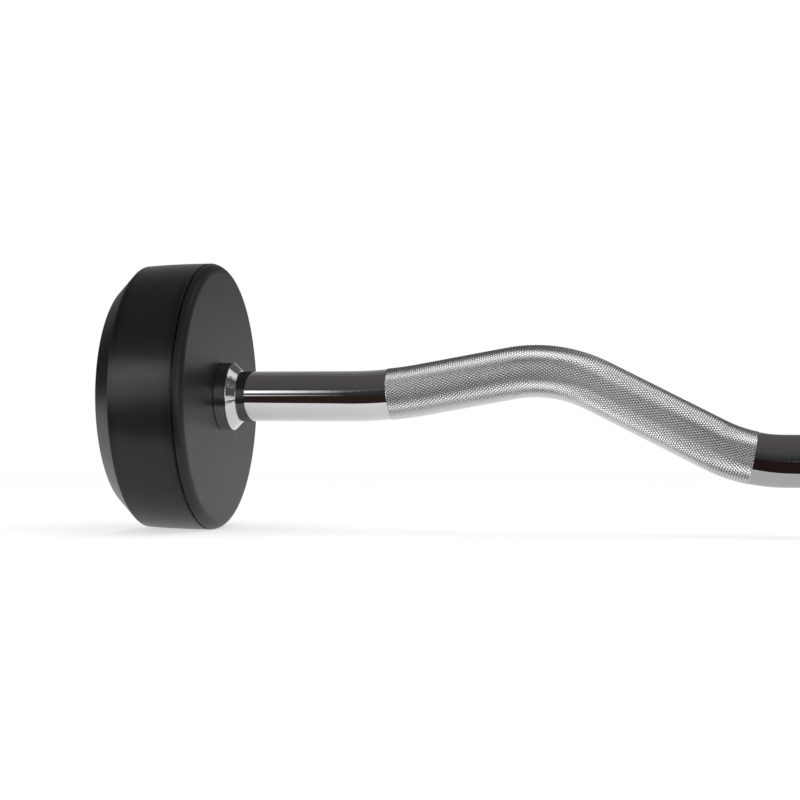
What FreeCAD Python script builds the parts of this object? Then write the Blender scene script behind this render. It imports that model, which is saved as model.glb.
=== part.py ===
import FreeCAD, Part
import math
import os
from enum import IntEnum
from types import SimpleNamespace

import Sketcher

# Fixed-weight curl bar: one bent and knurled bar, with a rubber-jacketed weight bolted on each end.
# +X runs along the bar and +Z is up. The origin is mid-bar on the axis of the two weights, and the
# bends lie in the XZ plane with the middle of the bar lowest.

# Driving dimensions: lengths in millimetres, angles in degrees, shares of the length they name.
DRIVING = {
    # Bent bar, from its middle outwards
    "bar_diameter": 30.0,
    "centre_straight": 130.0,
    "inner_bend_radius": 86.0,
    "inner_bend_angle": 27.0,
    "inner_grip_straight": 73.5,
    "crest_bend_radius": 80.0,
    "outer_grip_straight": 52.0,
    "outer_bend_radius": 250.0,
    "outer_bend_angle": 10.2,
    "end_straight": 67.0,
    # Knurled band: how far it stands up, and how much of the bend at each end of it is knurled
    "knurl_raise": 0.4,
    "inner_knurl_share": 0.57,
    "outer_knurl_share": 0.46,
    # Turned spigot that carries the weight
    "shoulder_width": 2.5,
    "spigot_chamfer": 1.0,
    "spigot_end_gap": 0.5,
    # Stop collar between the shoulder and the weight
    "collar_height": 5.25,
    "collar_length": 12.0,
    "collar_lip": 0.6,
    "collar_edge_break": 0.3,
    # Dowel pins that keep the weight from turning on the collar
    "pin_diameter": 4.0,
    "pin_length": 16.0,
    "pin_chamfer": 0.5,
    "pin_end_gap": 0.3,
    # Outside of the weight
    "head_diameter": 160.0,
    "head_thickness": 55.0,
    "outer_bevel": 11.5,
    "rim_draft": 1.1,
    "parting_offset": 6.5,
    "inner_round_share": 0.92,
    "bevel_edge_break": 0.7,
    "face_ring_width": 12.5,
    "dish_depth": 2.0,
    "dish_edge_break": 0.6,
    "mouth_step": 3.0,
    "mouth_edge_break": 1.2,
    # Rubber over the iron
    "rim_rubber": 7.0,
    "inner_rubber": 5.0,
    "outer_rubber": 6.0,
    "bond_film": 0.1,
    # Iron core
    "hub_wall": 6.5,
    "web_thickness": 33.0,
    "core_edge_chamfer": 3.0,
    "recess_chamfer": 1.0,
    # End fastening: socket-head bolt, split spring washer and thick clamp washer
    "bolt_diameter": 12.0,
    "bolt_length": 40.0,
    "bolt_tip_chamfer": 1.2,
    "bolt_head_diameter": 18.0,
    "bolt_head_height": 12.0,
    "bolt_head_break": 1.0,
    "socket_width": 10.0,
    "socket_depth": 6.0,
    "tapped_spare": 3.0,
    "washer_diameter": 44.0,
    "washer_thickness": 4.0,
    "washer_edge_chamfer": 0.8,
    "spring_washer_diameter": 21.0,
    "spring_washer_thickness": 2.5,
    "spring_washer_slit": 1.6,
    "spring_washer_slant": 1.8,
    # Clearances
    "fit_gap": 0.1,
    "bolt_hole_gap": 0.4,
    "recess_gap": 1.0,
    "cut_overrun": 2.0,
}

SHEET = "Sizes"
FULL_TURN = 360
HALF_TURN = 180
HEX_SIDES = 6
HEX_CORNER = 1 / math.cos(math.pi / HEX_SIDES)
ROOT_TWO = math.sqrt(2)
SAME_PLACE = 0.001

RIGHT, LEFT = "right", "left"

doc = FreeCAD.newDocument("curl_bar")


class Point(IntEnum):
    """Points of a sketch's edge, as sketches number them."""

    START = 1
    END = 2
    CENTRE = 3


class Axis(IntEnum):
    """A sketch's own axes, as sketches number them."""

    ALONG = -1
    ACROSS = -2


# A sketch's own origin is the start of its first axis
ORIGIN = (Axis.ALONG, Point.START)


class Size:
    """A size that carries both its value and the sheet expression that gives it."""

    def __init__(self, value, text):
        self.value = value
        self.text = text

    def join(self, sign, other, value):
        """Returns the size that a sum or product of this one and another makes."""
        right = other.text if isinstance(other, Size) else str(other)
        return Size(value, f"({self.text} {sign} {right})")

    def __add__(self, other):
        return self.join("+", other, self.value + plain(other))

    def __sub__(self, other):
        return self.join("-", other, self.value - plain(other))

    def __mul__(self, other):
        return self.join("*", other, self.value * plain(other))

    def __truediv__(self, other):
        return self.join("/", other, self.value / plain(other))

    def __neg__(self):
        return Size(-self.value, f"(-1 * {self.text})")


def plain(size):
    """Returns the number that a size or a plain number stands for."""
    return size.value if isinstance(size, Size) else size


def sine(angle):
    """Returns the sine of an angle in degrees."""
    return Size(math.sin(math.radians(angle.value)), f"sin({angle.text})")


def cosine(angle):
    """Returns the cosine of an angle in degrees."""
    return Size(math.cos(math.radians(angle.value)), f"cos({angle.text})")


def fill_sheet():
    """Writes the driving dimensions to the sheet and returns them as sizes."""
    sheet = doc.addObject("Spreadsheet::Sheet", SHEET)
    sizes = {}
    for row, (alias, value) in enumerate(DRIVING.items(), start=1):
        sheet.set(f"A{row}", alias)
        sheet.set(f"B{row}", str(value))
        sheet.setAlias(f"B{row}", alias)
        sizes[alias] = Size(value, f"{SHEET}.{alias}")
    doc.recompute()
    return SimpleNamespace(**sizes)


d = fill_sheet()

# Sizes that follow from the driving ones. At each end, distances along the bar start at the shoulder
# of the spigot and run outwards.
bar_radius = d.bar_diameter / 2
spigot_radius = bar_radius - d.shoulder_width
bore_radius = spigot_radius + d.fit_gap
collar_radius = bar_radius + d.collar_height
hub_radius = spigot_radius + d.hub_wall
pin_radius = d.pin_diameter / 2
pin_hole_radius = pin_radius + d.fit_gap
pin_circle_radius = (bore_radius + hub_radius) / 2
pin_hole_depth = d.pin_length / 2 + d.pin_end_gap
head_radius = d.head_diameter / 2
bolt_radius = d.bolt_diameter / 2
bolt_head_radius = d.bolt_head_diameter / 2
bolt_hole_radius = bolt_radius + d.bolt_hole_gap
washer_radius = d.washer_diameter / 2
recess_radius = washer_radius + d.recess_gap

inner_face = d.collar_length
outer_face = inner_face + d.head_thickness
core_inner_face = inner_face + d.inner_rubber
core_outer_face = outer_face - d.outer_rubber
washer_seat = inner_face + d.web_thickness
spring_seat = washer_seat + d.washer_thickness
bolt_seat = spring_seat + d.spring_washer_thickness
bolt_tip = bolt_seat - d.bolt_length
spigot_end = washer_seat - d.spigot_end_gap

crest_bend_angle = d.inner_bend_angle + d.outer_bend_angle
shoulder_x = (
    d.centre_straight / 2
    + d.inner_bend_radius * sine(d.inner_bend_angle)
    + d.inner_grip_straight * cosine(d.inner_bend_angle)
    + d.crest_bend_radius * sine(d.inner_bend_angle)
    + d.crest_bend_radius * sine(d.outer_bend_angle)
    + d.outer_grip_straight * cosine(d.outer_bend_angle)
    + d.outer_bend_radius * sine(d.outer_bend_angle)
    + d.end_straight
)


def new_body(name):
    """Starts an empty piece with its own label."""
    body = doc.addObject("PartDesign::Body", name)
    body.Label = name
    return body


def end_body(side, name):
    """Starts a piece of one end, with its frame at the spigot's shoulder and +X outwards."""
    body = new_body(f"{side}_{name}")
    if side == LEFT:
        body.Placement.Rotation = FreeCAD.Rotation(FreeCAD.Vector(0, 0, 1), HALF_TURN)
    place = -shoulder_x if side == LEFT else shoulder_x
    body.setExpression("Placement.Base.x", place.text)
    return body


def origin_plane(body, role):
    """Returns one of a body's own origin planes."""
    return next(item for item in body.Origin.OriginFeatures if item.Role == role)


def new_sketch(body, name, role, offset=None):
    """Starts a sketch on an origin plane, or at an offset along that plane's normal."""
    sketch = body.newObject("Sketcher::SketchObject", name)
    sketch.AttachmentSupport = [(origin_plane(body, role), "")]
    sketch.MapMode = "FlatFace"
    if offset is not None:
        sketch.setExpression("AttachmentOffset.Base.z", offset.text)
    return sketch


def tie(sketch, size, kind, *where):
    """Adds a dimension to a sketch and ties it to the sheet."""
    value = math.radians(size.value) if kind == "Angle" else size.value
    index = sketch.addConstraint(Sketcher.Constraint(kind, *where, value))
    sketch.setExpression(f"Constraints[{index}]", size.text)


def fix_point(sketch, edge, point, along, across):
    """Holds a point of an edge at its two distances from the sketch's origin."""
    for size, kind, axis in ((along, "DistanceX", Axis.ACROSS), (across, "DistanceY", Axis.ALONG)):
        if plain(size) == 0:
            sketch.addConstraint(Sketcher.Constraint("PointOnObject", edge, point, axis))
        else:
            tie(sketch, size, kind, *ORIGIN, edge, point)


def draw_outline(sketch, points):
    """Draws a closed outline of straight lines through points given as pairs of sizes."""
    spots = [FreeCAD.Vector(plain(along), plain(across), 0) for along, across in points]
    count = len(spots)
    for index, spot in enumerate(spots):
        sketch.addGeometry(Part.LineSegment(spot, spots[(index + 1) % count]))
    for index, (along, across) in enumerate(points):
        following = (index + 1) % count
        sketch.addConstraint(Sketcher.Constraint("Coincident", index, Point.END, following, Point.START))
        fix_point(sketch, index, Point.START, along, across)


def draw_circle(sketch, radius, along=0, across=0):
    """Draws a circle with its centre at two distances from the sketch's origin."""
    centre = FreeCAD.Vector(plain(along), plain(across), 0)
    axis = FreeCAD.Vector(0, 0, 1)
    edge = sketch.addGeometry(Part.Circle(centre, axis, radius.value))
    tie(sketch, radius, "Radius", edge)
    fix_point(sketch, edge, Point.CENTRE, along, across)


def draw_hexagon(sketch, width):
    """Draws a hexagon about the sketch's origin from its width across the flats."""
    corner_radius = width / 2 * HEX_CORNER
    corners = []
    for index in range(HEX_SIDES):
        turn = math.radians(index * FULL_TURN / HEX_SIDES)
        corners.append(FreeCAD.Vector(math.cos(turn), math.sin(turn), 0) * corner_radius.value)
    for index, corner in enumerate(corners):
        sketch.addGeometry(Part.LineSegment(corner, corners[(index + 1) % HEX_SIDES]))
    guide = Part.Circle(FreeCAD.Vector(), FreeCAD.Vector(0, 0, 1), corner_radius.value)
    ring = sketch.addGeometry(guide, True)
    sketch.addConstraint(Sketcher.Constraint("Coincident", ring, Point.CENTRE, *ORIGIN))
    tie(sketch, corner_radius, "Radius", ring)
    for index in range(HEX_SIDES):
        following = (index + 1) % HEX_SIDES
        sketch.addConstraint(Sketcher.Constraint("Coincident", index, Point.END, following, Point.START))
        sketch.addConstraint(Sketcher.Constraint("PointOnObject", index, Point.START, ring))
        if index > 0:
            sketch.addConstraint(Sketcher.Constraint("Equal", 0, index))
    sketch.addConstraint(Sketcher.Constraint("PointOnObject", 0, Point.START, Axis.ALONG))


def turn_profile(body, name, points):
    """Turns a closed outline of (along, radius) points about the bar's axis."""
    sketch = new_sketch(body, f"{name}_profile", "XZ_Plane")
    draw_outline(sketch, points)
    turned = body.newObject("PartDesign::Revolution", name)
    turned.Profile = sketch
    turned.ReferenceAxis = (sketch, ["H_Axis"])
    turned.Angle = FULL_TURN
    doc.recompute()


def cut_pocket(body, name, sketch, depth, outwards=False):
    """Cuts a sketch into a piece towards the middle of the bar, or outwards, to a depth."""
    pocket = body.newObject("PartDesign::Pocket", name)
    pocket.Profile = sketch
    pocket.Reversed = outwards
    pocket.setExpression("Length", depth.text)
    before = body.Shape.Volume
    doc.recompute()
    if body.Shape.Volume >= before:
        raise RuntimeError(f"{body.Label}: {name} cuts nothing")


def ring_edges(body, rings):
    """Names a piece's circular edges about the bar's axis at the given (along, radius) places."""
    names = []
    for index, edge in enumerate(body.Tip.Shape.Edges, start=1):
        curve = edge.Curve
        if not isinstance(curve, Part.Circle):
            continue
        for along, radius in rings:
            off_axis = math.hypot(curve.Center.y, curve.Center.z)
            misses = (curve.Center.x - along.value, curve.Radius - radius.value, off_axis)
            if max(abs(miss) for miss in misses) < SAME_PLACE:
                names.append(f"Edge{index}")
    if len(names) != len(rings):
        raise RuntimeError(f"{body.Label}: {len(names)} of {len(rings)} edges found")
    return names


def round_rings(body, name, radius, rings):
    """Rounds circular edges of a turned piece."""
    base = body.Tip
    edges = ring_edges(body, rings)
    fillet = body.newObject("PartDesign::Fillet", name)
    fillet.Base = (base, edges)
    fillet.setExpression("Radius", radius.text)
    doc.recompute()


def chamfer_rings(body, name, size, rings):
    """Chamfers circular edges of a turned piece."""
    base = body.Tip
    edges = ring_edges(body, rings)
    chamfer = body.newObject("PartDesign::Chamfer", name)
    chamfer.Base = (base, edges)
    chamfer.setExpression("Size", size.text)
    doc.recompute()


def draw_bar_path(sketch):
    """Draws the right half of the bar's centreline and returns the names of its knurled edges.

    The line starts mid-bar and heads outwards. Each stretch is a straight run, or an arc that
    turns the heading up (plus) or down (minus). The two bends at the ends of the knurled band are
    drawn as two arcs each, so that the band can follow its own stretches of the same line.
    """
    inner_knurl = d.inner_bend_angle * d.inner_knurl_share
    outer_knurl = d.outer_bend_angle * d.outer_knurl_share
    stretches = (
        ("run", d.centre_straight / 2, None, False),
        ("up", d.inner_bend_radius, d.inner_bend_angle - inner_knurl, False),
        ("up", d.inner_bend_radius, inner_knurl, True),
        ("run", d.inner_grip_straight, None, True),
        ("down", d.crest_bend_radius, crest_bend_angle, True),
        ("run", d.outer_grip_straight, None, True),
        ("up", d.outer_bend_radius, outer_knurl, True),
        ("up", d.outer_bend_radius, d.outer_bend_angle - outer_knurl, False),
        ("run", d.end_straight, None, False),
    )
    drop = (
        d.inner_bend_radius * (cosine(d.inner_bend_angle) - 1)
        - d.inner_grip_straight * sine(d.inner_bend_angle)
        - d.crest_bend_radius * (cosine(d.outer_bend_angle) - cosine(d.inner_bend_angle))
        + d.outer_grip_straight * sine(d.outer_bend_angle)
        - d.outer_bend_radius * (cosine(d.outer_bend_angle) - 1)
    )
    spot = FreeCAD.Vector(0, drop.value, 0)
    heading = 0.0
    ends = []
    for kind, reach, turn, _ in stretches:
        if kind == "run":
            end = spot + FreeCAD.Vector(math.cos(heading), math.sin(heading), 0) * reach.value
            edge = sketch.addGeometry(Part.LineSegment(spot, end))
            tie(sketch, reach, "Distance", edge, Point.START, edge, Point.END)
            ends.append((edge, Point.START, Point.END))
        else:
            sign = 1 if kind == "up" else -1
            side = FreeCAD.Vector(-math.sin(heading), math.cos(heading), 0) * sign
            centre = spot + side * reach.value
            circle = Part.Circle(centre, FreeCAD.Vector(0, 0, 1), reach.value)
            later = heading + sign * math.radians(turn.value)
            end = centre - FreeCAD.Vector(-math.sin(later), math.cos(later), 0) * sign * reach.value
            first = math.atan2(spot.y - centre.y, spot.x - centre.x)
            last = math.atan2(end.y - centre.y, end.x - centre.x)
            angles = (first, last) if sign > 0 else (last, first)
            edge = sketch.addGeometry(Part.ArcOfCircle(circle, *angles))
            tie(sketch, reach, "Radius", edge)
            tie(sketch, turn, "Angle", edge)
            ends.append((edge, Point.START, Point.END) if sign > 0 else (edge, Point.END, Point.START))
            heading = later
        spot = end
    for (edge, _, finish), (following, begin, _) in zip(ends, ends[1:]):
        sketch.addConstraint(Sketcher.Constraint("Tangent", edge, finish, following, begin))
    first_edge, first_start, _ = ends[0]
    last_edge, _, last_end = ends[-1]
    sketch.addConstraint(Sketcher.Constraint("PointOnObject", first_edge, first_start, Axis.ACROSS))
    sketch.addConstraint(Sketcher.Constraint("Horizontal", first_edge))
    sketch.addConstraint(Sketcher.Constraint("PointOnObject", last_edge, last_end, Axis.ALONG))
    return [f"Edge{edge + 1}" for (edge, _, _), stretch in zip(ends, stretches) if stretch[3]]


def sweep_round(body, name, path, edges, radius):
    """Sweeps a circle along some edges of a path, starting square to the first of them."""
    section = body.newObject("Sketcher::SketchObject", f"{name}_section")
    section.AttachmentSupport = [(path, edges[0])]
    section.MapMode = "NormalToEdge"
    section.MapPathParameter = 0
    draw_circle(section, radius)
    sweep = body.newObject("PartDesign::AdditivePipe", name)
    sweep.Profile = section
    sweep.Spine = (path, edges)
    doc.recompute()


def build_curl_bar():
    """Builds the bent bar: its right half swept, knurled, turned and tapped, then mirrored."""
    body = new_body("curl_bar")
    path = new_sketch(body, "bar_path", "XZ_Plane")
    knurled = draw_bar_path(path)
    doc.recompute()
    every_edge = [f"Edge{index}" for index in range(1, len(path.Shape.Edges) + 1)]
    sweep_round(body, "bent_round", path, every_edge, bar_radius)
    sweep_round(body, "knurled_band", path, knurled, bar_radius + d.knurl_raise)

    spigot_sketch = new_sketch(body, "spigot_section", "YZ_Plane", shoulder_x)
    draw_circle(spigot_sketch, spigot_radius)
    spigot = body.newObject("PartDesign::Pad", "spigot")
    spigot.Profile = spigot_sketch
    spigot.setExpression("Length", spigot_end.text)
    doc.recompute()
    chamfer_rings(body, "spigot_lead", d.spigot_chamfer, [(shoulder_x + spigot_end, spigot_radius)])

    hole_sketch = new_sketch(body, "tapped_hole_section", "YZ_Plane", shoulder_x + spigot_end)
    draw_circle(hole_sketch, bolt_radius + d.fit_gap)
    cut_pocket(body, "tapped_hole", hole_sketch, spigot_end - bolt_tip + d.tapped_spare)

    mirror = body.newObject("PartDesign::Mirrored", "both_halves")
    mirror.TransformMode = "Whole shape"
    mirror.MirrorPlane = (origin_plane(body, "YZ_Plane"), [""])
    body.Tip = mirror
    doc.recompute()
    return body


def cut_pin_holes(body, outwards):
    """Cuts the two dowel holes into the face where the collar and the weight meet."""
    for place, turn in (("upper", 1), ("lower", -1)):
        sketch = new_sketch(body, f"{place}_pin_hole_section", "YZ_Plane", inner_face)
        draw_circle(sketch, pin_hole_radius, 0, pin_circle_radius * turn)
        cut_pocket(body, f"{place}_pin_hole", sketch, pin_hole_depth, outwards)


def build_stop_collar(side):
    """Builds the chromed ring that sits on the spigot against the shoulder."""
    body = end_body(side, "stop_collar")
    lip_radius = bar_radius + d.collar_lip
    cone_length = collar_radius - lip_radius
    turn_profile(body, "ring", (
        (0, bore_radius),
        (0, lip_radius),
        (cone_length, collar_radius),
        (inner_face, collar_radius),
        (inner_face, bore_radius),
    ))
    cut_pin_holes(body, outwards=False)
    edges = [(cone_length, collar_radius), (inner_face, collar_radius)]
    chamfer_rings(body, "edge_breaks", d.collar_edge_break, edges)
    return body


def build_dowel_pin(side, place, turn):
    """Builds one dowel pin, half in the collar and half in the core."""
    body = end_body(side, f"{place}_dowel_pin")
    first = inner_face - d.pin_length / 2
    last = inner_face + d.pin_length / 2
    section = new_sketch(body, "pin_section", "YZ_Plane", first)
    draw_circle(section, pin_radius, 0, pin_circle_radius * turn)
    pin = body.newObject("PartDesign::Pad", "pin")
    pin.Profile = section
    pin.setExpression("Length", d.pin_length.text)
    doc.recompute()
    ends = []
    for index, edge in enumerate(body.Tip.Shape.Edges, start=1):
        if isinstance(edge.Curve, Part.Circle):
            ends.append(f"Edge{index}")
    chamfer = body.newObject("PartDesign::Chamfer", "pin_leads")
    chamfer.Base = (pin, ends)
    chamfer.setExpression("Size", d.pin_chamfer.text)
    doc.recompute()
    return body


def core_outline(offset):
    """Returns the outside of the iron from its hub face to its recess, moved out by an offset.

    The jacket lines the same outline with the bond film between them. Along the bevel, at 45
    degrees, distance and radius add up to the same sum everywhere.
    """
    core_radius = head_radius - d.rim_rubber
    bevel_sum = outer_face + head_radius - d.rim_draft - d.outer_bevel
    inner_sum = bevel_sum - (d.rim_rubber - offset) * ROOT_TWO
    return (
        (inner_face, hub_radius + offset),
        (core_inner_face - offset, hub_radius + offset),
        (core_inner_face - offset, core_radius + offset - d.core_edge_chamfer),
        (core_inner_face - offset + d.core_edge_chamfer, core_radius + offset),
        (inner_sum - core_radius - offset, core_radius + offset),
        (core_outer_face + offset, inner_sum - core_outer_face - offset),
    )


def build_iron_core(side):
    """Builds the cast weight disc: a hub on its inner face and a bolt recess in its outer one."""
    body = end_body(side, "iron_core")
    turn_profile(body, "casting", core_outline(0) + (
        (core_outer_face, recess_radius),
        (washer_seat, recess_radius),
        (washer_seat, bore_radius),
        (inner_face, bore_radius),
    ))
    cut_pin_holes(body, outwards=True)
    chamfer_rings(body, "recess_lead", d.recess_chamfer, [(core_outer_face, recess_radius)])
    return body


def build_rubber_jacket(side):
    """Builds the moulded rubber over the iron: drafted rim, bevelled edge and dished outer face."""
    body = end_body(side, "rubber_jacket")
    parting = inner_face + d.parting_offset
    rim_end = outer_face - d.outer_bevel
    rim_end_radius = head_radius - d.rim_draft
    face_radius = rim_end_radius - d.outer_bevel
    dish_radius = face_radius - d.face_ring_width
    dish_floor = outer_face - d.dish_depth
    mouth_radius = recess_radius + d.mouth_step
    lining = core_outline(d.bond_film)
    turn_profile(body, "moulding", (
        (inner_face, head_radius),
        (parting, head_radius),
        (rim_end, rim_end_radius),
        (outer_face, face_radius),
        (outer_face, dish_radius),
        (dish_floor, dish_radius),
        (dish_floor, mouth_radius),
        (core_outer_face + d.bond_film, mouth_radius),
    ) + lining[::-1])
    inner_round = d.parting_offset * d.inner_round_share
    round_rings(body, "inner_edge", inner_round, [(inner_face, head_radius)])
    bevel_edges = [(rim_end, rim_end_radius), (outer_face, face_radius)]
    chamfer_rings(body, "bevel_edges", d.bevel_edge_break, bevel_edges)
    dish_edges = [(outer_face, dish_radius), (dish_floor, dish_radius)]
    chamfer_rings(body, "dish_edges", d.dish_edge_break, dish_edges)
    chamfer_rings(body, "mouth_edge", d.mouth_edge_break, [(dish_floor, mouth_radius)])
    return body


def build_clamp_washer(side):
    """Builds the thick washer that pulls the weight against the collar."""
    body = end_body(side, "clamp_washer")
    turn_profile(body, "disc", (
        (washer_seat, bolt_hole_radius),
        (washer_seat, washer_radius),
        (spring_seat, washer_radius),
        (spring_seat, bolt_hole_radius),
    ))
    chamfer_rings(body, "edge", d.washer_edge_chamfer, [(spring_seat, washer_radius)])
    return body


def build_spring_washer(side):
    """Builds the split spring washer, pressed flat, with its slanted slit on top."""
    body = end_body(side, "spring_washer")
    radius = d.spring_washer_diameter / 2
    turn_profile(body, "ring", (
        (spring_seat, bolt_radius + d.fit_gap),
        (spring_seat, radius),
        (bolt_seat, radius),
        (bolt_seat, bolt_radius + d.fit_gap),
    ))
    slit = new_sketch(body, "slit_section", "XY_Plane")
    draw_outline(slit, (
        (spring_seat, 0),
        (bolt_seat, d.spring_washer_slant),
        (bolt_seat, d.spring_washer_slant + d.spring_washer_slit),
        (spring_seat, d.spring_washer_slit),
    ))
    cut_pocket(body, "slit", slit, radius + d.cut_overrun, outwards=True)
    return body


def build_end_bolt(side):
    """Builds the socket-head bolt that holds the weight on the spigot."""
    body = end_body(side, "end_bolt")
    head_top = bolt_seat + d.bolt_head_height
    turn_profile(body, "blank", (
        (bolt_tip, 0),
        (bolt_tip, bolt_radius),
        (bolt_seat, bolt_radius),
        (bolt_seat, bolt_head_radius),
        (head_top, bolt_head_radius),
        (head_top, 0),
    ))
    chamfer_rings(body, "tip", d.bolt_tip_chamfer, [(bolt_tip, bolt_radius)])
    chamfer_rings(body, "head_edge", d.bolt_head_break, [(head_top, bolt_head_radius)])
    socket = new_sketch(body, "socket_section", "YZ_Plane", head_top)
    draw_hexagon(socket, d.socket_width)
    cut_pocket(body, "socket", socket, d.socket_depth)
    return body


def build_end(side):
    """Builds every piece of one end of the bar."""
    return [
        build_stop_collar(side),
        build_dowel_pin(side, "upper", 1),
        build_dowel_pin(side, "lower", -1),
        build_iron_core(side),
        build_rubber_jacket(side),
        build_clamp_washer(side),
        build_spring_washer(side),
        build_end_bolt(side),
    ]


def check_pieces(pieces):
    """Stops the build if any object failed, or a piece isn't one sound solid."""
    for item in doc.Objects:
        if "Invalid" in item.State or "Error" in item.State:
            raise RuntimeError(f"{item.Label}: {item.State}")
    for piece in pieces:
        shape = piece.Shape
        if shape.isNull() or not shape.isValid() or len(shape.Solids) != 1:
            raise RuntimeError(f"{piece.Label}: not one sound solid")


def main():
    """Builds the bar and both its ends, checks them and writes each piece to its file."""
    pieces = [build_curl_bar()] + build_end(LEFT) + build_end(RIGHT)
    doc.recompute()
    check_pieces(pieces)
    os.makedirs("parts", exist_ok=True)
    for piece in pieces:
        piece.Shape.exportStep(os.path.join("parts", f"{piece.Label}.step"))
        box = piece.Shape.BoundBox
        print(f"{piece.Label}: x {box.XMin:.2f} to {box.XMax:.2f}, volume {piece.Shape.Volume:.0f}")


main()
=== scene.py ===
"""Dresses a fixed-weight EZ curl bar: a bent, knurled, chromed bar with a rubber-clad weight at each end.

Lengths are in metres and angles in radians, in the frame of the solids: +X runs along the bar, +Z is up,
and the origin is mid-bar on the axis of the two weights.
"""

import logging
import math
from collections.abc import Callable, Iterator, Sequence
from dataclasses import dataclass, field
from enum import Enum

import bpy
import numpy as np
from bpy.types import Material, Mesh, Node, NodeOutputs, NodeSocket, NodeTree, Object
from mathutils import Matrix, Vector


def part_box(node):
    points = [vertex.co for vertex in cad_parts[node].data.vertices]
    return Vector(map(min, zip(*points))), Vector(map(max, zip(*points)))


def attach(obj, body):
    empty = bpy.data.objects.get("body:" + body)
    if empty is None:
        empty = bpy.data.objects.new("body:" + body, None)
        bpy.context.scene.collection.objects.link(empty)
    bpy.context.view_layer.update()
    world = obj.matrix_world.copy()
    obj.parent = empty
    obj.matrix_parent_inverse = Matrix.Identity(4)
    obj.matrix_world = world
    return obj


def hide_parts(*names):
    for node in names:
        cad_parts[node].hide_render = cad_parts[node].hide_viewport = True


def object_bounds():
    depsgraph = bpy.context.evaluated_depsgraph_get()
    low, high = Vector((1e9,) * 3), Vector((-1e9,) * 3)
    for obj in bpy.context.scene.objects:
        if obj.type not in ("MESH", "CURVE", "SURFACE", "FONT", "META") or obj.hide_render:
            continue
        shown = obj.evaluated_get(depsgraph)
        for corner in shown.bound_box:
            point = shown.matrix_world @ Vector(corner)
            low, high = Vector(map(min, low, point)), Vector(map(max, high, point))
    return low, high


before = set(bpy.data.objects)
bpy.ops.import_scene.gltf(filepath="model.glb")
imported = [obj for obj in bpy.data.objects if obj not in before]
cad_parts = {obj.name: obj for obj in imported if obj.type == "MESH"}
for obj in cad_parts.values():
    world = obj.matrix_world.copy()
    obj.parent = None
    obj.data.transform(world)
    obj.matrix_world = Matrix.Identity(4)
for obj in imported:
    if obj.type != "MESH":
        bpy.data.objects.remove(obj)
CAD_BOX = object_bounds()

BODY = "root"
LOG = logging.getLogger("curl_bar")

Pair = tuple[float, float]
Triple = tuple[float, float, float]
Arrays = tuple[np.ndarray, ...]
SocketValue = float | Sequence[float] | NodeSocket
Inputs = dict[str | int, SocketValue]

# Normal of a plain ring, as (along, radius).
OUTWARD: Pair = (0.0, 1.0)
# How far beside a rounded edge its wear ends.
WEAR_FADE = 0.0012
# Turns and lengths below these count as none.
SMALLEST_TURN = 1e-6
SMALLEST_LENGTH = 1e-12
# Steps in the arcs of small corners and of the rubber's corners.
SMALL_STEPS = 3
RUBBER_STEPS = 8
# Places of the bends and of the straight end in the bar's list of stretches.
INNER_BEND, OUTER_BEND, END_STRAIGHT = 1, 5, 6
# Points round the bolt's head for each serration, and rings for each turn of its thread.
SERRATION_POINTS = 5
THREAD_RINGS = 6
# Material indices of the bar's plain and knurled faces.
PLAIN_INDEX, KNURL_INDEX = 0, 1
# Sockets of the Mix node: its share and its two colours, and their mix.
MIX_INPUTS = (0, 6, 7)
MIX_OUTPUT = 2


class Side(Enum):
    """The two ends of the bar, by the sign of X there."""

    LEFT = -1
    RIGHT = 1


class Slot(Enum):
    """The record's finishes named for new pieces, which nothing here applies."""

    CHROME = "bar_chrome"
    RUBBER = "jacket_rubber"
    ZINC = "washer_zinc"
    BOLT = "bolt_black"


class RingShape(Enum):
    """What one ring of a turned piece looks like, seen along the axis."""

    ROUND = "round"
    KNURL = "knurl"
    SERRATED = "serrated"
    HEXAGON = "hexagon"
    THREAD = "thread"


# Shapes

@dataclass(frozen=True)
class Corner:
    """A corner of a turned outline.

    Attributes:
        along: Distance along the axis.
        radius: Distance from the axis.
        rounding: Radius of the rounded corner, or zero for a sharp one.
        shape: The ring that the corner sweeps out.
    """

    along: float
    radius: float
    rounding: float = 0.0
    shape: RingShape = RingShape.ROUND


@dataclass(frozen=True)
class Row:
    """One ring of a turned piece, with the outline's normal on both sides of it.

    Attributes:
        along: Distance along the axis.
        radius: Distance from the axis.
        before: Normal at the end of the strip before the ring, as (along, radius).
        after: Normal at the start of the strip after the ring.
        shape: What the ring looks like along the axis.
        edge: How much the ring belongs to a worn edge, from 0 to 1.
    """

    along: float
    radius: float
    before: Pair = OUTWARD
    after: Pair = OUTWARD
    shape: RingShape = RingShape.ROUND
    edge: float = 0.0

    def mirrored(self) -> "Row":
        """Returns the same ring on the other half of the bar."""
        before, after = ((-normal[0], normal[1]) for normal in (self.after, self.before))
        return Row(-self.along, self.radius, before, after, self.shape, self.edge)


Relief = Callable[[Row, int, np.ndarray], np.ndarray]


class StraightLine:
    """A straight axis from mid-bar along X, either way."""

    def __init__(self, sign: int) -> None:
        """Keeps which way the axis runs."""
        self.ahead = np.array((sign, 0.0, 0.0))

    def frames(self, alongs: np.ndarray) -> Arrays:
        """Gives the places at some distances.

        Args:
            alongs: Distances from mid-bar.

        Returns:
            Centres, and the directions ahead, up and sideways there, one row each.
        """
        up = np.array((0.0, 0.0, 1.0))
        ones = np.ones((len(alongs), 1))
        return alongs[:, None] * self.ahead, ones * self.ahead, ones * up, ones * np.cross(self.ahead, up)


@dataclass(frozen=True)
class Stretch:
    """A stretch of the bent centreline, straight or an arc.

    Attributes:
        length: Length along the line.
        turn: Angle that the heading turns up by.
    """

    length: float
    turn: float = 0.0


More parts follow.
